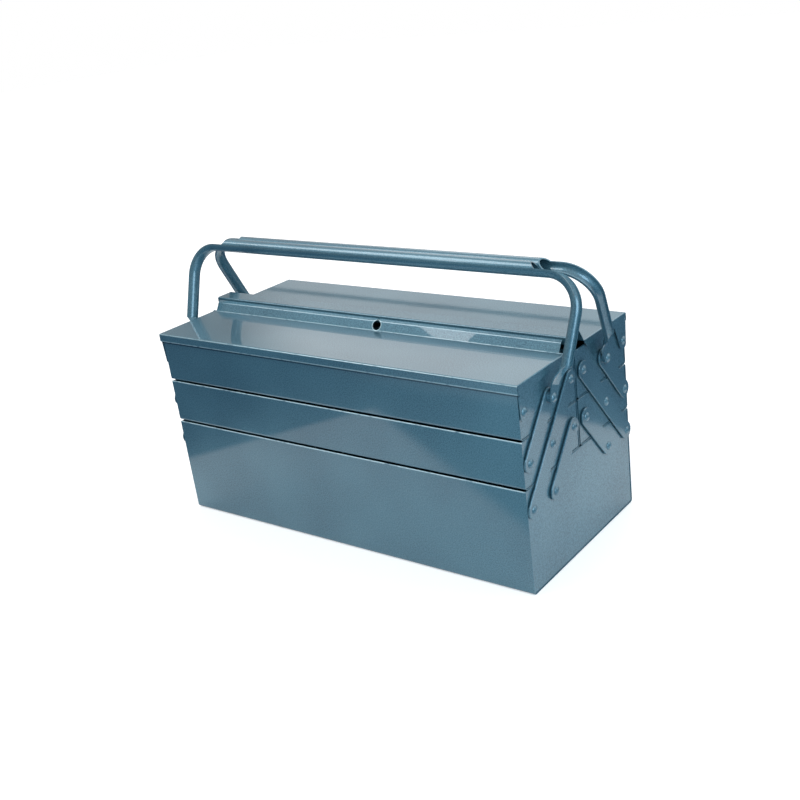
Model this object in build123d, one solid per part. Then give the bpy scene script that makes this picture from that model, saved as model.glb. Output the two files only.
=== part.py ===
from build123d import *
import os
from math import acos, asin, atan2, cos, degrees, hypot, radians, sin, tan

os.makedirs("parts", exist_ok=True)

# Cantilever toolbox in folded sheet steel: a base box, two mid trays and two top trays that swing
# out to front and rear on parallel links, two lids and two carrying handles.
# X runs along the box, Y from front to rear, Z up from the floor. All sizes are in mm.

# Boxes
body_length = 430.0         # over the outer faces of the end panels
body_depth = 195.4          # over the front and rear walls
base_height = 103.0         # floor to the top of the base rim
tray_height = 45.2          # a mid tray, underside to rim
top_tray_height = 46.0      # a top tray, underside to rim
seam_gap = 1.2              # between a rim and the tray above it
centre_gap = 2.0            # between the front and rear trays
sheet = 0.8                 # thickness of all folded sheet
bend_radius = 2.2           # inside radius of the long folds
hem_height = 5.0            # depth of the folded rim
panel_flange = 11.0         # flanges of an end panel, welded inside the wrap
panel_bend = 0.75           # outside radius of an end panel's edges
wrap_overhang = 0.5         # how far a wrap stands past its end panels
weld_fit = 0.03             # between welded sheets
hem_relief = 0.4            # between a rim's fold and the end panel's fold

# Links
pivot_inset = 8.2           # from a long wall to the outermost row of pivots
pivot_middle_inset = 11.9   # from the middle of the box to the innermost row of pivots
pivot_drop = 20.2           # from the base's rim down to the lowest row of pivots
upper_link_drop = 2.0       # how much lower than its row an upper link hangs
link_width = 17.0
link_thickness = 1.5
link_standoff = 1.2         # from the end panel to the back of a link
side_play = 0.1             # along a rivet, on each side of a piece that turns
running_fit = 0.08          # radial, between a rivet and a hole that turns on it
fixed_fit = 0.03            # radial, between a rivet and a hole that it fills
link_edge = 0.35            # bevel of a link's outer edge

# Rivets and washers
rivet_radius = 2.5
rivet_head_radius = 4.2
rivet_head_height = 2.2
rivet_tail_radius = 3.8
rivet_tail_height = 1.3
shoulder_radius = 5.2       # of a rivet's shoulder, between the end panel and the link
ear_shoulder_radius = 4.5   # of a lid rivet's shoulder
washer_radius = 5.2         # between a link and a handle

# Lids
lid_rise = 4.8              # from the top tray's rim to the underside of the lid
lid_overhang = 2.4          # past the walls and the end panels
lip_depth = 8.4             # front lip and end skirts
lid_bend = 1.0              # inside radius of a lid's folds
lid_edge = 1.1              # rounding of a lid's ends
corner_slot = 0.7           # between the lip and the end skirt
ear_inset = 5.7             # from a long wall to the lid's pivot
ear_pivot_drop = 20.4       # from a top tray's rim down to the lid's pivot
ear_drop = 8.0              # tip of the ear below its pivot
ear_tip_front = 5.2         # from the pivot to the ear's front edge, at the tip
ear_tip_rear = 4.6          # from the pivot to the ear's rear edge, at the tip
ear_root_width = 23.0
ear_tip_radius = 4.0
ear_radius = 3.0            # rounding where the ear leaves the skirt
skirt_slant = 6.0           # lean of a skirt's inner end

# Ridge over the middle seam
ridge_foot_y = 22.0         # foot of the front lid's turned-up flange, ahead of the centre plane
ridge_top_y = 14.0          # its top edge, ahead of the centre plane
ridge_rise = 12.8           # its height above the lids
roof_front_y = 12.4         # front of the rear lid's hood, ahead of the centre plane
roof_rear_y = 8.0           # rear crease of the hood, behind the centre plane
roof_rise = 12.6            # top of the hood above the lids
hood_foot_y = 16.0          # where the rear lid turns up, behind the centre plane
hood_flange = 7.4           # depth of the hood's front flange, which clears the front tray's rim
padlock_x = 8.0
padlock_radius = 5.0
padlock_up = 5.9            # centre of the hole, up the slope from the ridge's foot

# Handles
front_grip_y = -11.0        # centre of the front grip at rest
rear_grip_y = 6.5           # centre of the rear grip at rest
handle_reach = 108.0        # from the pivot axis to the centre of the grip
handle_radius = 6.8         # outside radius of the grip tube and of the channel legs
handle_wall = 1.2
handle_bend = 33.0          # centre-line radius of the corners
handle_standoff = 3.0       # from a link to the flat end of the handle
grip_end_gap = 14.0         # from a corner's bend to the closed part of the tube
grip_cut = 7.0              # length of the slanted cut at each end of the closed part
leg_offset = 10.1           # from the flat end out to the leg's centre line, at the pivot axis
leg_spread = 7.0            # how much further out that centre line is at the grip
handle_end_width = 12.0
flat_length = 12.0          # flat part of an end, above the pivot
form_length = 16.0          # where the flat end turns into the channel

# Places that follow from the sizes above
end_x = body_length / 2
front_y = -body_depth / 2
inner_y = -centre_gap / 2
mid_floor_z = base_height + seam_gap
top_floor_z = mid_floor_z + tray_height + seam_gap
pivot_step_z = tray_height + seam_gap
rim_z = top_floor_z + top_tray_height
lid_top_z = rim_z + lid_rise + sheet
lid_end_x = end_x + lid_overhang
lid_front_y = front_y - lid_overhang
link_x = end_x + link_standoff
link_outer_x = link_x + link_thickness
handle_x = link_outer_x + side_play + handle_standoff + side_play
leg_foot_x = handle_x + leg_offset
leg_top_x = leg_foot_x + leg_spread
grip_half_length = leg_top_x - handle_bend - grip_end_gap
ear_inner_x = lid_end_x - sheet
head_x = link_outer_x + side_play

pivot_step_y = (body_depth / 2 - pivot_inset - pivot_middle_inset) / 2
rows_y = [front_y + pivot_inset + n * pivot_step_y for n in range(3)]
rows_z = [base_height - pivot_drop + n * pivot_step_z for n in range(3)]
base_pivots = [(rows_y[0], rows_z[0]), (rows_y[1], rows_z[0])]
mid_pivots = [(rows_y[0], rows_z[1] - upper_link_drop), (rows_y[1], rows_z[1]), (rows_y[2], rows_z[1])]
top_link_pivot = (rows_y[2], rows_z[2])
handle_pivot = (rows_y[1], rows_z[2] - upper_link_drop)
ear_pivot = (front_y + ear_inset, rim_z - ear_pivot_drop)


def along_x(section, x_from, x_to):
    """Extrude a section drawn in Y and Z between two X positions."""
    return extrude(Plane.YZ.offset(x_from) * section, amount=x_to - x_from)


def area(y_from, y_to, z_from, z_to):
    """Rectangle in Y and Z."""
    return Pos((y_from + y_to) / 2, (z_from + z_to) / 2) * Rectangle(y_to - y_from, z_to - z_from)


def rod(x_from, x_to, radius, place):
    """Cylinder along X at a place given as (y, z)."""
    turned = Rotation(0, 90, 0) * Cylinder(radius, x_to - x_from)
    return Pos((x_from + x_to) / 2, place[0], place[1]) * turned


def front_and_rear(shape):
    return [shape, shape.mirror(Plane.XZ)]


def right_and_left(shape):
    return [shape, shape.mirror(Plane.YZ)]


def save(name, *shapes):
    solids = [solid for shape in shapes for solid in shape.solids()]
    if len(solids) == 1:
        piece = solids[0]
    else:
        piece = Compound(children=solids)
    piece.label = name
    export_step(piece, f"parts/{name}.step")


def rounded_path(points, radii):
    """Edges through the points, with an arc of the given radius at each inner point."""
    edges = []
    start = Vector(*points[0])
    for n in range(1, len(points) - 1):
        corner = Vector(*points[n])
        back = (Vector(*points[n - 1]) - corner).normalized()
        ahead = (Vector(*points[n + 1]) - corner).normalized()
        half = radians(back.get_angle(ahead)) / 2
        reach = radii[n - 1] / tan(half)
        arc_start = corner + back * reach
        arc_end = corner + ahead * reach
        middle = corner + (back + ahead).normalized() * (radii[n - 1] / sin(half) - radii[n - 1])
        edges.append(Line(start, arc_start))
        edges.append(ThreePointArc(arc_start, middle, arc_end))
        start = arc_end
    edges.append(Line(start, Vector(*points[-1])))
    return edges


def folded(points, thickness, inside_radius):
    """Section of a folded sheet: the points run along its outer face, with the sheet on their right."""
    inner = []
    outer_radii = []
    inner_radii = []
    for n in range(len(points)):
        y, z = points[n]
        sides = []
        for a, b in ((n - 1, n), (n, n + 1)):
            if a >= 0 and b < len(points):
                run = hypot(points[b][0] - points[a][0], points[b][1] - points[a][1])
                sides.append(((points[b][1] - points[a][1]) / run, -(points[b][0] - points[a][0]) / run))
        if len(sides) == 1:
            inner.append((y + sides[0][0] * thickness, z + sides[0][1] * thickness))
        else:
            (ay, az), (by, bz) = sides
            share = thickness / (1 + ay * by + az * bz)
            inner.append((y + (ay + by) * share, z + (az + bz) * share))
            turns_right = ay * bz - az * by < 0
            outer_radii.append(inside_radius + (thickness if turns_right else 0))
            inner_radii.append(inside_radius + (0 if turns_right else thickness))
    edges = rounded_path(points, outer_radii) + rounded_path(inner, inner_radii)
    edges.append(Line(Vector(*points[0]), Vector(*inner[0])))
    edges.append(Line(Vector(*points[-1]), Vector(*inner[-1])))
    return make_face(edges)


def wrap(y_from, y_to, z_from, height):
    """Floor and two long walls folded from one sheet, with folded rims."""
    outer = area(y_from, y_to, z_from, z_from + height)
    rows = outer.vertices().group_by(Axis.Y)
    outer = fillet(rows[0], bend_radius + sheet)
    outer = fillet(outer.vertices().group_by(Axis.Y)[-1], sheet * 0.9)
    hollow = area(y_from + sheet, y_to - sheet, z_from + sheet, z_from + height + 2 * bend_radius)
    hollow = fillet(hollow.vertices().group_by(Axis.Y)[0], bend_radius)
    length_x = end_x + wrap_overhang
    shape = along_x(outer - hollow, -length_x, length_x)
    hem_x = end_x - 2 * sheet - hem_relief
    rim_top = z_from + height
    for y, toward in ((y_from + sheet, 1), (y_to - sheet, -1)):
        low, high = sorted((y, y + toward * sheet))
        hem = area(low, high, rim_top - hem_height, rim_top)
        inner_corner = hem.vertices().group_by(Axis.Y)[-1].sort_by(Axis.X)[-1 if toward > 0 else 0]
        hem = fillet(inner_corner, sheet * 0.9)
        shape += along_x(hem, -hem_x, hem_x)
    return shape


def end_panel(y_from, y_to, z_from, height, pivots):
    """Right-hand end panel: a shallow pan between the wrap's walls, with a folded rim and rivet holes."""
    gap = sheet + weld_fit
    y_low = y_from + gap
    y_high = y_to - gap
    z_low = z_from + gap
    z_high = z_from + height
    outline = area(y_low, y_high, z_low, z_high)
    outline = fillet(outline.vertices().group_by(Axis.Y)[0], bend_radius)
    pan = along_x(outline, end_x - panel_flange, end_x)
    pan = fillet(pan.faces().sort_by(Axis.X)[-1].edges(), panel_bend)
    hollow = area(y_low + sheet, y_high - sheet, z_low + sheet, z_high + bend_radius)
    hollow = fillet(hollow.vertices().group_by(Axis.Y)[0], max(bend_radius - sheet, 0.3))
    pan -= along_x(hollow, end_x - 2 * panel_flange, end_x - sheet)
    clear_z = z_high - hem_height - hem_relief
    pan -= along_x(area(y_from, y_to, clear_z, z_high + 1), end_x - 2 * panel_flange, end_x - sheet)
    hem = area(y_low + sheet + hem_relief, y_high - sheet - hem_relief, z_high - hem_height, z_high)
    fold = along_x(hem, end_x - 2 * sheet, end_x - sheet)
    inner_edge = fold.edges().filter_by(Axis.Y).group_by(Axis.Z)[-1].sort_by(Axis.X)[0]
    pan += fillet(inner_edge, sheet * 0.9)
    for place in pivots:
        pan -= rod(end_x - 2 * sheet, end_x + sheet, rivet_radius + fixed_fit, place)
    return pan


def rivet(place, shoulder_x, head_x, shoulder=shoulder_radius):
    """Shoulder rivet: closed inside the end panel, with a shoulder up to shoulder_x and a head at head_x."""
    inner_x = end_x - sheet
    tail_x = inner_x - rivet_tail_height
    dome_radius = (rivet_head_radius ** 2 + rivet_head_height ** 2) / (2 * rivet_head_height)
    dome_centre = head_x + rivet_head_height - dome_radius
    half_way = asin(rivet_head_radius / dome_radius) / 2
    dome_middle = (dome_centre + dome_radius * cos(half_way), dome_radius * sin(half_way))
    steps = [
        (tail_x, 0), (tail_x, rivet_tail_radius), (inner_x, rivet_tail_radius), (inner_x, rivet_radius),
        (end_x, rivet_radius), (end_x, shoulder), (shoulder_x, shoulder), (shoulder_x, rivet_radius),
        (head_x, rivet_radius), (head_x, rivet_head_radius)]
    top = (head_x + rivet_head_height, 0)
    outline = [Line(a, b) for a, b in zip(steps, steps[1:])]
    outline += [ThreePointArc(steps[-1], dome_middle, top), Line(top, steps[0])]
    return Pos(0, place[0], place[1]) * revolve(make_face(outline), Axis.X)


def washer(place, x_from, x_to):
    ring = rod(x_from, x_to, washer_radius, place)
    return ring - rod(x_from - 1, x_to + 1, rivet_radius + fixed_fit, place)


def link(places):
    """Flat strap with round ends through the first and last of its pivots."""
    (y_a, z_a), (y_b, z_b) = places[0], places[-1]
    span = hypot(y_b - y_a, z_b - z_a)
    angle = degrees(atan2(z_b - z_a, y_b - y_a))
    outline = Pos((y_a + y_b) / 2, (z_a + z_b) / 2) * Rot(0, 0, angle) * SlotCenterToCenter(span, link_width)
    strap = along_x(outline, link_x, link_outer_x)
    strap = chamfer(strap.faces().sort_by(Axis.X)[-1].edges(), link_edge)
    for place in places:
        strap -= rod(link_x - 1, link_outer_x + 1, rivet_radius + running_fit, place)
    return strap


def lid_skirt(y_inner):
    """Right-hand end skirt of the front lid with its pivot ear, ending at y_inner."""
    low_z = lid_top_z - lip_depth
    y_outer = lid_front_y + sheet + corner_slot
    skirt = make_face(Polyline(
        (y_outer, lid_top_z), (y_outer, low_z), (y_inner - skirt_slant, low_z), (y_inner, lid_top_z),
        close=True))
    tip_z = ear_pivot[1] - ear_drop
    tip_front = ear_pivot[0] - ear_tip_front
    tip_rear = ear_pivot[0] + ear_tip_rear
    root_z = low_z + sheet
    ear = make_face(Polyline(
        (y_outer, root_z), (tip_front, tip_z), (tip_rear, tip_z), (y_outer + ear_root_width, root_z),
        close=True))
    ear = fillet(ear.vertices().group_by(Axis.Y)[0], ear_tip_radius)
    outline = skirt + ear
    root = outline.vertices().filter_by(lambda v: abs(v.Y - low_z) < 0.01 and v.X > tip_rear)
    outline = fillet(root.sort_by(Axis.X)[0], ear_radius)
    shape = along_x(outline, ear_inner_x, lid_end_x)
    return shape - rod(ear_inner_x - 1, lid_end_x + 1, rivet_radius + running_fit, ear_pivot)


def lid(section, foot_y):
    """Lid from its long section, with end skirts and rounded ends, up to the foot of its ridge."""
    shape = along_x(section, -lid_end_x, lid_end_x)
    corner = Pos(lid_end_x - lid_edge / 2, lid_top_z - lid_edge / 2) * Rectangle(lid_edge, lid_edge)
    corner -= Pos(lid_end_x - lid_edge, lid_top_z - lid_edge) * Circle(lid_edge)
    stop_y = foot_y + lid_bend
    trim = extrude(Plane.XZ.offset(stop_y) * corner, amount=2 * body_depth)
    for skirt, cut in zip(right_and_left(lid_skirt(-foot_y)), right_and_left(trim)):
        shape = shape + skirt - cut
    return shape


def front_lid():
    flange_top_z = lid_top_z + ridge_rise
    section = folded([
        (lid_front_y, lid_top_z - lip_depth), (lid_front_y, lid_top_z), (-ridge_foot_y, lid_top_z),
        (-ridge_top_y, flange_top_z)], sheet, lid_bend)
    tilt = atan2(ridge_rise, ridge_foot_y - ridge_top_y)
    centre = Pos(padlock_x, -ridge_foot_y + padlock_up * cos(tilt), lid_top_z + padlock_up * sin(tilt))
    drill = centre * Rotation(degrees(tilt), 0, 0) * Cylinder(padlock_radius, 6 * sheet)
    return lid(section, ridge_foot_y) - drill


def rear_lid():
    """Drawn facing front, then turned to the rear."""
    roof_z = lid_top_z + roof_rise
    section = folded([
        (lid_front_y, lid_top_z - lip_depth), (lid_front_y, lid_top_z), (-hood_foot_y, lid_top_z),
        (-roof_rear_y, roof_z), (roof_front_y, roof_z), (roof_front_y, roof_z - hood_flange)],
        sheet, lid_bend)
    return lid(section, hood_foot_y).mirror(Plane.XZ)


def thick_arc(outer, half_angle):
    """Arc of the handle's strip, seen in section: its back touches the origin and it opens toward +X."""
    def at(radius, angle):
        return (outer - radius * cos(radians(angle)), radius * sin(radians(angle)))

    inner = outer - handle_wall
    return make_face([
        ThreePointArc(at(outer, -half_angle), at(outer, 0), at(outer, half_angle)),
        Line(at(outer, half_angle), at(inner, half_angle)),
        ThreePointArc(at(inner, half_angle), at(inner, 0), at(inner, -half_angle)),
        Line(at(inner, -half_angle), at(outer, -half_angle)),
    ])


def handle(grip_y):
    """Front handle: one strip, channel-shaped in the legs and corners, closed to a tube at the grip.

    Drawn flat, with the grip along X, the legs along Y and the pivot axis at Y = 0, then leaned in
    until the grip is at grip_y.
    """
    lean_out = atan2(leg_spread, handle_reach)
    run = Vector(sin(lean_out), cos(lean_out))
    outward = Vector(cos(lean_out), -sin(lean_out))
    foot = Vector(leg_foot_x, 0) + run * ((flat_length + form_length) / cos(lean_out))
    path = Wire([e.edge() for e in rounded_path(
        [(foot.X, foot.Y), (leg_top_x, handle_reach), (0, handle_reach)], [handle_bend])])
    foot_back = foot - outward * handle_radius
    channel = Plane(origin=foot_back, x_dir=outward, z_dir=run) * thick_arc(handle_radius, 90)
    leg = sweep(channel, path=path)
    half_width = handle_end_width / 2
    stages = []
    for share, rise, bend in ((-0.05, 0, 1500), (0.5, 0.35, 9.5)):
        place = (handle_x + rise * (foot_back.X - handle_x), flat_length + share * form_length, 0)
        half_angle = degrees(asin(half_width / bend))
        stages.append(Plane(origin=place, x_dir=(1, 0, 0), z_dir=(0, 1, 0)) * thick_arc(bend, half_angle))
    leg += loft([*stages, channel])
    flat = Pos(flat_length / 2, 0) * Rectangle(flat_length, handle_end_width) + Circle(half_width)
    leg += extrude(Plane.YZ.offset(handle_x) * flat, amount=handle_wall)
    leg -= rod(handle_x - 1, handle_x + handle_wall + 1, rivet_radius + running_fit, (0, 0))
    tube = Pos(handle_reach, 0) * (Circle(handle_radius) - Circle(handle_radius - handle_wall))
    top_y = handle_reach + handle_radius
    keep = make_face(Polyline(
        (-grip_half_length, handle_reach - handle_wall), (-grip_half_length, handle_reach),
        (grip_cut - grip_half_length, top_y), (grip_half_length - grip_cut, top_y),
        (grip_half_length, handle_reach), (grip_half_length, handle_reach - handle_wall), close=True))
    cover = along_x(tube, -grip_half_length, grip_half_length)
    cover = cover & extrude(keep, amount=2 * handle_radius, both=True)
    bail = leg + leg.mirror(Plane.YZ) + cover
    lean = degrees(acos((grip_y - handle_pivot[0]) / handle_reach))
    return Pos(0, *handle_pivot) * Rotation(lean, 0, 0) * bail


# Base box
base_wrap = wrap(front_y, -front_y, 0, base_height)
all_base_pivots = base_pivots + [(-y, z) for y, z in base_pivots]
base_panels = right_and_left(end_panel(front_y, -front_y, 0, base_height, all_base_pivots))
save("base_wrap", base_wrap)
save("base_end_panel_right", base_panels[0])
save("base_end_panel_left", base_panels[1])
save("base_link_rivets", *[
    s for place in all_base_pivots for s in right_and_left(rivet(place, link_x - side_play, head_x))])

# Pieces that come in a front and a rear set
pairs = {
    "mid_tray_wrap": wrap(front_y, inner_y, mid_floor_z, tray_height),
    "top_tray_wrap": wrap(front_y, inner_y, top_floor_z, top_tray_height),
}
mid_panel = end_panel(front_y, inner_y, mid_floor_z, tray_height, mid_pivots)
top_panel = end_panel(
    front_y, inner_y, top_floor_z, top_tray_height, [top_link_pivot, handle_pivot, ear_pivot])
links = {
    "long_link": link([base_pivots[0], mid_pivots[1], top_link_pivot]),
    "lower_link": link([base_pivots[1], mid_pivots[2]]),
    "upper_link": link([mid_pivots[0], handle_pivot]),
}
for name, piece in [("mid_tray_end_panel", mid_panel), ("top_tray_end_panel", top_panel), *links.items()]:
    pairs[name + "_right"], pairs[name + "_left"] = right_and_left(piece)
for name, piece in pairs.items():
    for side, placed in zip(("front", "rear"), front_and_rear(piece)):
        save(f"{side}_{name}", placed)

# Rivets and washers of the trays, both ends of a tray in one file
handle_head_x = handle_x + handle_wall + side_play
fasteners = {
    "mid_tray_link_rivets": [rivet(place, link_x - side_play, head_x) for place in mid_pivots],
    "top_tray_link_rivets": [rivet(top_link_pivot, link_x - side_play, head_x)],
    "handle_rivets": [rivet(handle_pivot, link_x - side_play, handle_head_x)],
    "handle_washers": [washer(handle_pivot, head_x, handle_x - side_play)],
    "lid_rivets": [rivet(ear_pivot, ear_inner_x - side_play, lid_end_x + side_play, ear_shoulder_radius)],
}
for name, set_right in fasteners.items():
    both_ends = [s for piece in set_right for s in right_and_left(piece)]
    mirrored = [piece.mirror(Plane.XZ) for piece in both_ends]
    save(f"front_{name}", *both_ends)
    save(f"rear_{name}", *mirrored)

save("front_handle", handle(front_grip_y))
save("rear_handle", handle(-rear_grip_y).mirror(Plane.XZ))
save("front_lid", front_lid())
save("rear_lid", rear_lid())
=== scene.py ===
import math

import bpy
from mathutils import Matrix, Vector


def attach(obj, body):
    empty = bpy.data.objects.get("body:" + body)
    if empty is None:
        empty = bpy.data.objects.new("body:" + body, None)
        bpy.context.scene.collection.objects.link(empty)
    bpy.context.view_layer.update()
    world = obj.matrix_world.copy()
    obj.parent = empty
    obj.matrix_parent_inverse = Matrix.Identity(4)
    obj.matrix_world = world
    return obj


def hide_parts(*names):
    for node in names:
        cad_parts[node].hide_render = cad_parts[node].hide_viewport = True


bl_info = {
    "name": "Cantilever toolbox",
    "version": (1, 0, 0),
    "blender": (4, 5, 0),
    "location": "View3D > Sidebar > Toolbox",
    "description": "Folds the front lid's ridge, enamels the toolbox and builds a plain studio round it",
    "category": "Object",
}

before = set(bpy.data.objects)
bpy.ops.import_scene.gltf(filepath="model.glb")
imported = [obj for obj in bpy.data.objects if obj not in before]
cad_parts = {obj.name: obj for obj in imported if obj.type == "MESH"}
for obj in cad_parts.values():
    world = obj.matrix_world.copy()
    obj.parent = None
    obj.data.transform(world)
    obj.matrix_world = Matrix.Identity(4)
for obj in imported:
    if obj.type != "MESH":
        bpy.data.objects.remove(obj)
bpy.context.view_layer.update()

MM = 0.001


# Colours and nodes

def linear(hex_colour):
    """An sRGB hex colour as the linear red, green, blue and alpha that the shader takes."""
    values = [int(hex_colour[n:n + 2], 16) / 255 for n in (1, 3, 5)]
    return [v / 12.92 if v <= 0.04045 else ((v + 0.055) / 1.055) ** 2.4 for v in values] + [1.0]


def node(tree, kind, settings=None, inputs=None):
    """Adds a shader node. An input, by its name or number, takes a value, or is linked if given a socket."""
    made = tree.nodes.new(kind)
    for name, value in (settings or {}).items():
        setattr(made, name, value)
    for name, value in (inputs or {}).items():
        if isinstance(value, bpy.types.NodeSocket):
            tree.links.new(value, made.inputs[name])
        else:
            made.inputs[name].default_value = value
    return made


def risen(tree, *ramps):
    """1 where every value is past its end, and 0 where one is short of its start.

    A ramp is (value, start, end), and its end may be the lower of the two.
    """
    share = 1.0
    for value, start, end in ramps:
        ramp = node(tree, "ShaderNodeMapRange", {"interpolation_type": "SMOOTHSTEP"}, {
            "Value": value, "From Min": start, "From Max": end})
        share = node(tree, "ShaderNodeMath", {"operation": "MULTIPLY"}, {
            0: share, 1: ramp.outputs["Result"]}).outputs[0]
    return share


def new_material(name):
    """An empty material with its output, and the tree to build it in."""
    material = bpy.data.materials.new(name)
    material.use_nodes = True
    tree = material.node_tree
    tree.nodes.clear()
    return material, tree, node(tree, "ShaderNodeOutputMaterial")


# Painted highlights along the box, on folded edges where light catches the rounded fold: mm from the middle,
# height in mm, and how bright, up to 1
HIGHLIGHT_LINES = (
    (97.4, 102.5, 1.0), (97.4, 148.9, 1.0), (97.4, 196.1, 1.0),  # rims of the base and the trays
    (100.0, 201.7, 0.7), (100.1, 194.2, 0.8),  # top and bottom of the lids' lips
    (22.0, 202.9, 0.45), (17.0, 210.6, 0.2))  # foot and crease of the ridge
HIGHLIGHT_WIDTH = 0.75 * MM
# A painted shadow on the walls under the lids' lips: where its line runs, how wide it is, and its colour
SHADE_LINE = (97.7, 192.3)
SHADE_WIDTH = 1.3 * MM
SHADE_COLOUR = "#1a4256"
# The padlock hole's rim gets a painted highlight between these distances from the hole's centre
RIM_OUTSIDE = 5.9 * MM
RIM_INSIDE = 5.6 * MM
# Scales of the patterns, one over a feature's size in metres
DRIFT_SCALE = 9.0  # the coat's slow drift, 110 mm
# Gaps that break up the painted highlight lines
HIGHLIGHT_GAP_SCALE = 140.0  # gaps in the thin lines, 7 mm
PEEL_SCALE = 260.0  # orange peel, 4 mm
FLAKE_SCALE = 900.0  # flake, 1.1 mm, drawn coarser than the real flake so that it shows


def along_line(tree, place, y, z, width):
    """1 near a line that runs along the box, front and rear alike, and 0 away from it."""
    parts = node(tree, "ShaderNodeSeparateXYZ", {}, {0: place})
    across = node(tree, "ShaderNodeMath", {"operation": "ABSOLUTE"}, {0: parts.outputs["Y"]})
    flat = node(tree, "ShaderNodeCombineXYZ", {}, {"Y": across.outputs[0], "Z": parts.outputs["Z"]})
    away = node(tree, "ShaderNodeVectorMath", {"operation": "DISTANCE"}, {
        0: flat.outputs[0], 1: (0, y * MM, z * MM)})
    return risen(tree, (away.outputs["Value"], width, width * 0.6))


def highlight_mask(tree, place, hole):
    """1 along folded edges and round the padlock hole, where a highlight is painted into the colour, and 0
    elsewhere.
    """
    share = 0.0
    for y, z, brightness in HIGHLIGHT_LINES:
        near = node(tree, "ShaderNodeMath", {"operation": "MULTIPLY"}, {
            0: along_line(tree, place, y, z, HIGHLIGHT_WIDTH), 1: brightness})
        share = node(tree, "ShaderNodeMath", {"operation": "MAXIMUM"}, {
            0: share, 1: near.outputs[0]}).outputs[0]
    # Noise that breaks the painted highlight lines into gaps
    painted_highlight = node(tree, "ShaderNodeTexNoise", {}, {"Vector": place, "Scale": HIGHLIGHT_GAP_SCALE, "Detail": 1.0})
    share = node(tree, "ShaderNodeMath", {"operation": "MULTIPLY"}, {
        0: share, 1: risen(tree, (painted_highlight.outputs["Fac"], 0.2, 0.5))})
    away = node(tree, "ShaderNodeVectorMath", {"operation": "DISTANCE"}, {0: place, 1: hole})
    rim = risen(tree, (away.outputs["Value"], RIM_OUTSIDE, RIM_INSIDE))
    return node(tree, "ShaderNodeMath", {"operation": "MAXIMUM"}, {0: share.outputs[0], 1: rim}).outputs[0]


def enamel(name, colour, deep, painted_highlight, roughness, hole):
    """Stove enamel with fine metal flake, sprayed on folded steel.

    The eye sees a deep blue under a hard clear gloss: sharp reflections, a faint orange peel, a fine
    speckle, a slow drift in depth of colour where the coat is thicker, a painted highlight along each
    folded edge and round the padlock hole, and a painted shadow under the lids' lips.
    """
    material, tree, output = new_material(name)
    place = node(tree, "ShaderNodeTexCoord").outputs["Object"]
    drift = node(tree, "ShaderNodeTexNoise", {}, {"Vector": place, "Scale": DRIFT_SCALE, "Detail": 2.0})
    flake = node(tree, "ShaderNodeTexNoise", {}, {"Vector": place, "Scale": FLAKE_SCALE, "Detail": 1.0})
    tone, speck = [
        node(tree, "ShaderNodeMapRange", {}, {
            "Value": noise.outputs["Fac"], "From Min": 0.35, "From Max": 0.65, "To Max": part,
        }).outputs["Result"]
        for noise, part in ((drift, 0.35), (flake, 0.65))]
    share = node(tree, "ShaderNodeMath", {"operation": "ADD", "use_clamp": True}, {0: tone, 1: speck})
    paint = node(tree, "ShaderNodeMix", {"data_type": "RGBA"}, {
        0: share.outputs[0], 6: linear(deep), 7: linear(colour)})
    # Painted shadow: a dark line on the walls under the lids' lips
    painted_shade = node(tree, "ShaderNodeMix", {"data_type": "RGBA"}, {
        0: along_line(tree, place, *SHADE_LINE, SHADE_WIDTH), 6: paint.outputs[2], 7: linear(SHADE_COLOUR)})
    # Painted highlight: pale lines along the folded edges and a ring round the padlock hole
    highlighted = node(tree, "ShaderNodeMix", {"data_type": "RGBA"}, {
        0: highlight_mask(tree, place, hole), 6: painted_shade.outputs[2], 7: linear(painted_highlight)})
    peel = node(tree, "ShaderNodeTexNoise", {}, {"Vector": place, "Scale": PEEL_SCALE, "Detail": 1.0})
    waves = node(tree, "ShaderNodeBump", {}, {
        "Height": peel.outputs["Fac"], "Strength": 0.02, "Distance": 0.2 * MM})
    shader = node(tree, "ShaderNodeBsdfPrincipled", {}, {
        "Base Color": highlighted.outputs[2], "Metallic": 0.55, "Roughness": roughness,
        "Normal": waves.outputs[0], "Coat Weight": 1.0, "Coat Roughness": 0.02, "Coat IOR": 1.6,
        "Coat Normal": waves.outputs[0]})
    tree.links.new(shader.outputs[0], output.inputs["Surface"])
    return material


def give_material(objects, material):
    for thing in objects:
        thing.data.materials.clear()
        thing.data.materials.append(material)


# Shapes

CRISP_ANGLE = math.radians(30)  # an edge between faces that meet at more than this stays crisp
DRILL_LENGTH = 6 * MM
DRILL_SIDES = 64
SAME_WAY = 0.99  # two directions whose product is above this count as one


def copy_node(node_name, name):
    """A copy of a CAD node as one closed mesh, which stands in for that node."""
    piece = bpy.data.objects.new(name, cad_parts[node_name].data.copy())
    bpy.context.scene.collection.objects.link(piece)
    bpy.ops.object.select_all(action="DESELECT")
    bpy.context.view_layer.objects.active = piece
    piece.select_set(True)
    bpy.ops.object.mode_set(mode="EDIT")
    bpy.ops.mesh.select_all(action="SELECT")
    bpy.ops.mesh.remove_doubles(threshold=0.001 * MM)
    bpy.ops.object.mode_set(mode="OBJECT")
    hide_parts(node_name)
    return piece


def select_faces(piece, wanted):
    """Leaves the piece in edit mode with only the faces selected for which wanted(face) holds."""
    bpy.ops.object.mode_set(mode="EDIT")
    bpy.ops.mesh.select_mode(type="FACE")
    bpy.ops.mesh.select_all(action="DESELECT")
    bpy.ops.object.mode_set(mode="OBJECT")
    for face in piece.data.polygons:
        face.select = wanted(face)
    if not any(face.select for face in piece.data.polygons):
        raise RuntimeError(f"{piece.name} has no face to select here")
    bpy.ops.object.mode_set(mode="EDIT")


def smooth(piece):
    """Smooth rounded faces, while wide flat faces keep their own normals."""
    bpy.ops.object.shade_smooth_by_angle(angle=CRISP_ANGLE)
    flat = piece.modifiers.new("flat", "WEIGHTED_NORMAL")
    flat.keep_sharp = True
    bpy.ops.object.modifier_apply(modifier=flat.name)


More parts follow.
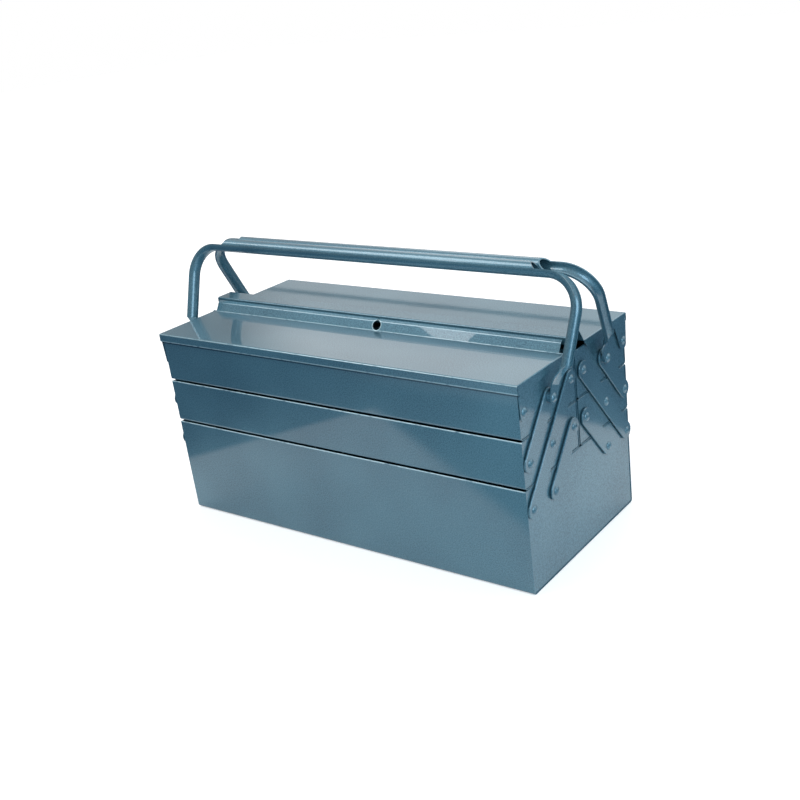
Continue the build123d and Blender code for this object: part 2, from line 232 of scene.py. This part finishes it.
def cut_hole(piece, radius, place, turn):
    """Drills a round hole of this radius through the piece."""
    bpy.ops.mesh.primitive_cylinder_add(
        vertices=DRILL_SIDES, radius=radius, depth=DRILL_LENGTH, location=place, rotation=(turn, 0, 0))
    drill = bpy.context.object
    bpy.ops.object.select_all(action="DESELECT")
    bpy.context.view_layer.objects.active = piece
    piece.select_set(True)
    hole = piece.modifiers.new("hole", "BOOLEAN")
    hole.operation = "DIFFERENCE"
    hole.solver = "MANIFOLD"
    hole.object = drill
    bpy.ops.object.modifier_apply(modifier=hole.name)
    bpy.data.objects.remove(drill)


# Settings

class RidgeSettings(bpy.types.PropertyGroup):
    foot_y: bpy.props.FloatProperty(
        name="Foot", description="Where the front lid turns up", default=-22.0 * MM, unit="LENGTH")
    lid_z: bpy.props.FloatProperty(
        name="Lid height", description="Top of the lids", default=202.2 * MM, unit="LENGTH")
    slope_angle: bpy.props.FloatProperty(
        name="Slope", description="Steepness of the ridge", default=math.atan2(12.8, 8.0), subtype="ANGLE")
    cut_height: bpy.props.FloatProperty(
        name="Cut", description="Up the slope from the foot to where the CAD sheet is cut",
        default=1.0 * MM, unit="LENGTH")
    slope_length: bpy.props.FloatProperty(
        name="Slope length", description="From the foot to the crease", default=9.8 * MM, unit="LENGTH")
    strip_angle: bpy.props.FloatProperty(
        name="Strip", description="Steepness of the strip above the crease",
        default=math.radians(35), subtype="ANGLE")
    strip_length: bpy.props.FloatProperty(
        name="Strip length", description="From the crease to the top edge", default=3.6 * MM, unit="LENGTH")
    crease_radius: bpy.props.FloatProperty(
        name="Crease", description="Outer radius of the crease", default=3.0 * MM, unit="LENGTH")
    half_length: bpy.props.FloatProperty(
        name="Half length", description="From the middle to each end of the ridge",
        default=212.7 * MM, unit="LENGTH")
    hole_radius: bpy.props.FloatProperty(
        name="Padlock hole", description="Radius of the padlock hole", default=5.0 * MM, unit="LENGTH")
    hole_x: bpy.props.FloatProperty(
        name="Hole place", description="Padlock hole to the right of the middle",
        default=8.0 * MM, unit="LENGTH")
    hole_up: bpy.props.FloatProperty(
        name="Hole height", description="Padlock hole up the slope from the foot",
        default=5.9 * MM, unit="LENGTH")


class ToolboxSettings(bpy.types.PropertyGroup):
    enamel_colour: bpy.props.StringProperty(
        name="Enamel", description="Colour of the enamel where it is lightest", default="#5b8b9d")
    enamel_deep: bpy.props.StringProperty(
        name="Deep enamel", description="Colour of the enamel where the coat is thickest", default="#376276")
    # The colour of the painted highlight along the folded edges and round the padlock hole
    enamel_highlight: bpy.props.StringProperty(
        name="Highlighted enamel", description="Colour of the enamel along the folded edges", default="#a9c9d3")
    enamel_roughness: bpy.props.FloatProperty(
        name="Roughness", description="Roughness of the flake under the clear gloss",
        default=0.42, min=0.05, max=1.0)


class StageSettings(bpy.types.PropertyGroup):
    floor_size: bpy.props.FloatProperty(
        name="Floor", description="Width of the floor", default=12.0, unit="LENGTH")
    floor_gap: bpy.props.FloatProperty(
        name="Floor gap", description="How far the floor lies under the box", default=0.2 * MM, unit="LENGTH")
    lamp_power: bpy.props.FloatProperty(
        name="Lamp", description="Power of the main lamp", default=16.0, unit="POWER")


def up_the_slope(ridge):
    """The way up the ridge's slope, from its foot."""
    return Vector((0, math.cos(ridge.slope_angle), math.sin(ridge.slope_angle)))


def hole_centre(ridge):
    """Where the padlock hole is, on the outside of the slope."""
    return Vector((ridge.hole_x, ridge.foot_y, ridge.lid_z)) + up_the_slope(ridge) * ridge.hole_up


# Operators

class FoldRidge(bpy.types.Operator):
    """Fold the front lid's ridge, with its crease, its top strip and the padlock hole"""
    bl_idname = "toolbox.ridge"
    bl_label = "Fold the ridge"

    def execute(self, context):
        ridge = context.scene.toolbox_ridge
        up = up_the_slope(ridge)
        foot = Vector((0, ridge.foot_y, ridge.lid_z))
        lid = copy_node("front_lid", "front_lid_sheet")

        def on_cut(face):
            return face.normal.dot(up) > SAME_WAY and face.center.z > ridge.lid_z

        # The slope is cut off just above its foot, and grows again from the part of the cut between its ends
        bpy.ops.object.mode_set(mode="EDIT")
        bpy.ops.mesh.select_all(action="SELECT")
        bpy.ops.mesh.bisect(
            plane_co=foot + up * ridge.cut_height, plane_no=up, use_fill=True, clear_outer=True)
        for side in (-1, 1):
            select_faces(lid, on_cut)
            bpy.ops.mesh.bisect(plane_co=(side * ridge.half_length, 0, 0), plane_no=(1, 0, 0))
        select_faces(lid, lambda face: on_cut(face) and abs(face.center.x) < ridge.half_length)
        turn = ridge.slope_angle - ridge.strip_angle
        reach = ridge.crease_radius * math.tan(turn / 2)
        bpy.ops.mesh.extrude_region_move(
            TRANSFORM_OT_translate={"value": up * (ridge.slope_length - reach - ridge.cut_height)})
        crease = foot + up * (ridge.slope_length - reach)
        centre = crease + Vector((0, up.z, -up.y)) * ridge.crease_radius
        bpy.ops.mesh.spin(steps=6, angle=turn, center=centre, axis=(1, 0, 0))
        along = Vector((0, math.cos(ridge.strip_angle), math.sin(ridge.strip_angle)))
        bpy.ops.mesh.extrude_region_move(
            TRANSFORM_OT_translate={"value": along * (ridge.strip_length - reach)})
        bpy.ops.mesh.select_all(action="SELECT")
        bpy.ops.mesh.normals_make_consistent(inside=False)
        bpy.ops.object.mode_set(mode="OBJECT")
        cut_hole(lid, ridge.hole_radius, hole_centre(ridge), ridge.slope_angle)
        smooth(lid)
        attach(lid, "front_lid")
        return {"FINISHED"}


class PaintToolbox(bpy.types.Operator):
    """Give every piece of the box its enamel"""
    bl_idname = "toolbox.paint"
    bl_label = "Paint the toolbox"

    def execute(self, context):
        look = context.scene.toolbox_look
        blue = enamel("stove_enamel_blue", look.enamel_colour, look.enamel_deep, look.enamel_highlight,
                      look.enamel_roughness, hole_centre(context.scene.toolbox_ridge))
        give_material([*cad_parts.values(), bpy.data.objects["front_lid_sheet"]], blue)
        return {"FINISHED"}


# The stage

# Edges of the white sheet on the floor: inside is where x and y times these come to more than the start, in m
SHEET_EDGES = ((0.866, 0.5, -0.375), (-0.485, 0.874, -0.246), (0.1, -1.0, -0.222))
SHEET_SOFTNESS = 0.012
# The table past the sheet: dark, paler in front towards the right, and palest far in front
TABLE_RIGHT = (-0.45, 0.1)
TABLE_FRONT = (0.0, -0.2)
TABLE_FAR = (-0.45, -0.49)
TABLE_COLOURS = {"dark": "#4a5f74", "pale": "#8aa6b3", "far": "#cfe4ee"}
SHEET_COLOUR = "#f4f4f4"
CAMERA_GLOW = 0.35  # what the floor gives the camera beyond its own light, so that it looks white
# The room, by the way a ray goes. The backdrop stands behind and to the right, over the floor's edge.
BACKDROP_WAY = (0.688, 0.725, 0)
BACKDROP_SIDE = (-0.05, 0.05)
BACKDROP_DEPTH = (0.1, 0.45)
BACKDROP_FOOT = (-0.02, 0.1)
# Up the backdrop, as a share of the way back: its low part, a dark seam across it, and its bright top
LEAST_DEPTH = 0.05
LOW_LIGHT = 0.4
TOP_START = (0.395, 0.46)
TOP_LIGHT = 0.6
SEAM_FOOT = (0.3802, 0.3818)
SEAM_TOP = (0.3868, 0.3852)
SEAM_DARK = -0.68
CEILING = (0.32, 0.7)
CEILING_LIGHT = 0.42
ROOM_LIGHT = 0.28
# Lamps: name, place in m, width in m, share of the main lamp's power, colour
LAMPS = (
    ("key_light", (-1.3, -0.9, 1.95), 1.2, 1.0, "#ffffff"),
    ("side_light", (1.4, -0.9, 0.9), 1.0, 0.75, "#d6efff"))
LAMP_TARGET = (0, 0, 0.12)
# The photograph's camera: place in m, and its azimuth, elevation and roll in degrees
CAMERA_PLACE = (0.67681, -0.80036, 0.53288)
CAMERA_TURN = (36.5126, 22.0607, -6.3559)
CAMERA_LENS = 49.507
CAMERA_SENSOR = 36.0
CAMERA_SHIFT = (-0.075, 0.0025)
CAMERA_RANGE = (0.05, 50.0)


class BuildStage(bpy.types.Operator):
    """Add the floor, the soft studio light and the camera"""
    bl_idname = "toolbox.stage"
    bl_label = "Build the stage"

    def execute(self, context):
        bpy.ops.object.select_all(action="DESELECT")
        self.floor(context)
        self.world(context)
        self.lamps(context)
        self.camera(context)
        return {"FINISHED"}

    def floor(self, context):
        """One plain floor: a matt white sheet where the box stands, and a darker table past its edges.

        The camera sees both as white. Only reflections show where the sheet ends.
        """
        sizes = context.scene.toolbox_stage
        bpy.ops.mesh.primitive_plane_add(size=sizes.floor_size, location=(0, 0, -sizes.floor_gap))
        floor = context.object
        floor.name = "floor"
        bpy.ops.object.transform_apply()
        material, tree, output = new_material("studio_floor_white")
        place = node(tree, "ShaderNodeTexCoord").outputs["Object"]
        seen = node(tree, "ShaderNodeLightPath").outputs["Is Camera Ray"]
        edges = []
        for across, along, start in SHEET_EDGES:
            edge = node(tree, "ShaderNodeVectorMath", {"operation": "DOT_PRODUCT"}, {
                0: place, 1: (across, along, 0)})
            edges.append((edge.outputs["Value"], start - SHEET_SOFTNESS, start + SHEET_SOFTNESS))
        white = node(tree, "ShaderNodeMath", {"operation": "MAXIMUM"}, {0: risen(tree, *edges), 1: seen})
        parts = node(tree, "ShaderNodeSeparateXYZ", {}, {0: place})
        x, y = parts.outputs["X"], parts.outputs["Y"]
        far = node(tree, "ShaderNodeMix", {"data_type": "RGBA"}, {
            0: risen(tree, (y, *TABLE_FAR)), 6: linear(TABLE_COLOURS["pale"]), 7: linear(TABLE_COLOURS["far"])})
        table = node(tree, "ShaderNodeMix", {"data_type": "RGBA"}, {
            0: risen(tree, (x, *TABLE_RIGHT), (y, *TABLE_FRONT)), 6: linear(TABLE_COLOURS["dark"]),
            7: far.outputs[2]})
        tint = node(tree, "ShaderNodeMix", {"data_type": "RGBA"}, {
            0: white.outputs[0], 6: table.outputs[2], 7: linear(SHEET_COLOUR)})
        matt = node(tree, "ShaderNodeBsdfDiffuse", {}, {"Color": tint.outputs[2]})
        strength = node(tree, "ShaderNodeMath", {"operation": "MULTIPLY"}, {0: seen, 1: CAMERA_GLOW})
        glow = node(tree, "ShaderNodeEmission", {}, {"Color": (1, 1, 1, 1), "Strength": strength.outputs[0]})
        both = node(tree, "ShaderNodeAddShader", {}, {0: matt.outputs[0], 1: glow.outputs[0]})
        tree.links.new(both.outputs[0], output.inputs["Surface"])
        give_material([floor], material)

    def world(self, context):
        """White to the camera. To the box, a bright backdrop behind, a soft ceiling and a dim room in front."""
        world = bpy.data.worlds.new("studio")
        context.scene.world = world
        world.use_nodes = True
        tree = world.node_tree
        tree.nodes.clear()
        output = node(tree, "ShaderNodeOutputWorld")
        way = node(tree, "ShaderNodeTexCoord").outputs["Generated"]
        parts = node(tree, "ShaderNodeSeparateXYZ", {}, {0: way})
        back, up = parts.outputs["Y"], parts.outputs["Z"]
        side = node(tree, "ShaderNodeVectorMath", {"operation": "DOT_PRODUCT"}, {0: way, 1: BACKDROP_WAY})
        backdrop = risen(tree, (side.outputs["Value"], *BACKDROP_SIDE), (back, *BACKDROP_DEPTH),
                         (up, *BACKDROP_FOOT))
        depth = node(tree, "ShaderNodeMath", {"operation": "MAXIMUM"}, {0: back, 1: LEAST_DEPTH})
        height = node(tree, "ShaderNodeMath", {"operation": "DIVIDE"}, {0: up, 1: depth.outputs[0]}).outputs[0]
        seam = risen(tree, (height, *SEAM_FOOT), (height, *SEAM_TOP))
        # The light up the backdrop is built up from its low part, then the whole room's from there
        shine = LOW_LIGHT
        for share, amount in ((risen(tree, (height, *TOP_START)), TOP_LIGHT), (seam, SEAM_DARK)):
            shine = node(tree, "ShaderNodeMath", {"operation": "MULTIPLY_ADD"}, {
                0: share, 1: amount, 2: shine}).outputs[0]
        light = ROOM_LIGHT
        for share, amount in ((risen(tree, (up, *CEILING)), CEILING_LIGHT), (backdrop, shine)):
            light = node(tree, "ShaderNodeMath", {"operation": "MULTIPLY_ADD"}, {
                0: share, 1: amount, 2: light}).outputs[0]
        seen = node(tree, "ShaderNodeLightPath").outputs["Is Camera Ray"]
        mix = node(tree, "ShaderNodeMix", {"data_type": "FLOAT"}, {0: seen, 2: light, 3: 1.0})
        sky = node(tree, "ShaderNodeBackground", {}, {"Color": (1, 1, 1, 1), "Strength": mix.outputs[0]})
        tree.links.new(sky.outputs[0], output.inputs["Surface"])

    def lamps(self, context):
        power = context.scene.toolbox_stage.lamp_power
        for name, place, size, share, colour in LAMPS:
            lamp = bpy.data.lights.new(name, "AREA")
            lamp.energy = power * share
            lamp.color = linear(colour)[:3]
            lamp.size = size
            holder = bpy.data.objects.new(name, lamp)
            context.scene.collection.objects.link(holder)
            holder.location = place
            aim = Vector(LAMP_TARGET) - Vector(place)
            holder.rotation_euler = aim.to_track_quat("-Z", "Y").to_euler()

    def camera(self, context):
        data = bpy.data.cameras.new("camera")
        data.sensor_width = CAMERA_SENSOR
        data.lens = CAMERA_LENS
        data.shift_x, data.shift_y = CAMERA_SHIFT
        data.clip_start, data.clip_end = CAMERA_RANGE
        camera = bpy.data.objects.new("camera", data)
        context.scene.collection.objects.link(camera)
        azimuth, elevation, roll = (math.radians(a) for a in CAMERA_TURN)
        forward = Vector((-math.sin(azimuth) * math.cos(elevation),
                          math.cos(azimuth) * math.cos(elevation), -math.sin(elevation)))
        level = forward.cross(Vector((0, 0, 1))).normalized()
        up = level.cross(forward)
        right = level * math.cos(roll) + up * math.sin(roll)
        turned = Matrix((right, right.cross(forward), -forward)).transposed()
        camera.matrix_world = Matrix.Translation(CAMERA_PLACE) @ turned.to_4x4()
        context.scene.camera = camera


class ToolboxPanel(bpy.types.Panel):
    bl_idname = "VIEW3D_PT_toolbox"
    bl_label = "Toolbox"
    bl_space_type = "VIEW_3D"
    bl_region_type = "UI"
    bl_category = "Toolbox"

    def draw(self, context):
        for operator in STEPS:
            self.layout.operator(operator.bl_idname)


STEPS = (FoldRidge, PaintToolbox, BuildStage)
SETTINGS = {"toolbox_ridge": RidgeSettings, "toolbox_look": ToolboxSettings, "toolbox_stage": StageSettings}


def register():
    for kind in (*SETTINGS.values(), *STEPS, ToolboxPanel):
        bpy.utils.register_class(kind)
    for name, kind in SETTINGS.items():
        setattr(bpy.types.Scene, name, bpy.props.PointerProperty(type=kind))


def unregister():
    for name in SETTINGS:
        delattr(bpy.types.Scene, name)
    for kind in (ToolboxPanel, *reversed(STEPS), *reversed(list(SETTINGS.values()))):
        bpy.utils.unregister_class(kind)


def main():
    register()
    bpy.context.scene.view_settings.view_transform = "Standard"
    for operator in STEPS:
        group, name = operator.bl_idname.split(".")
        getattr(getattr(bpy.ops, group), name)()


if __name__ == "__main__":
    main()
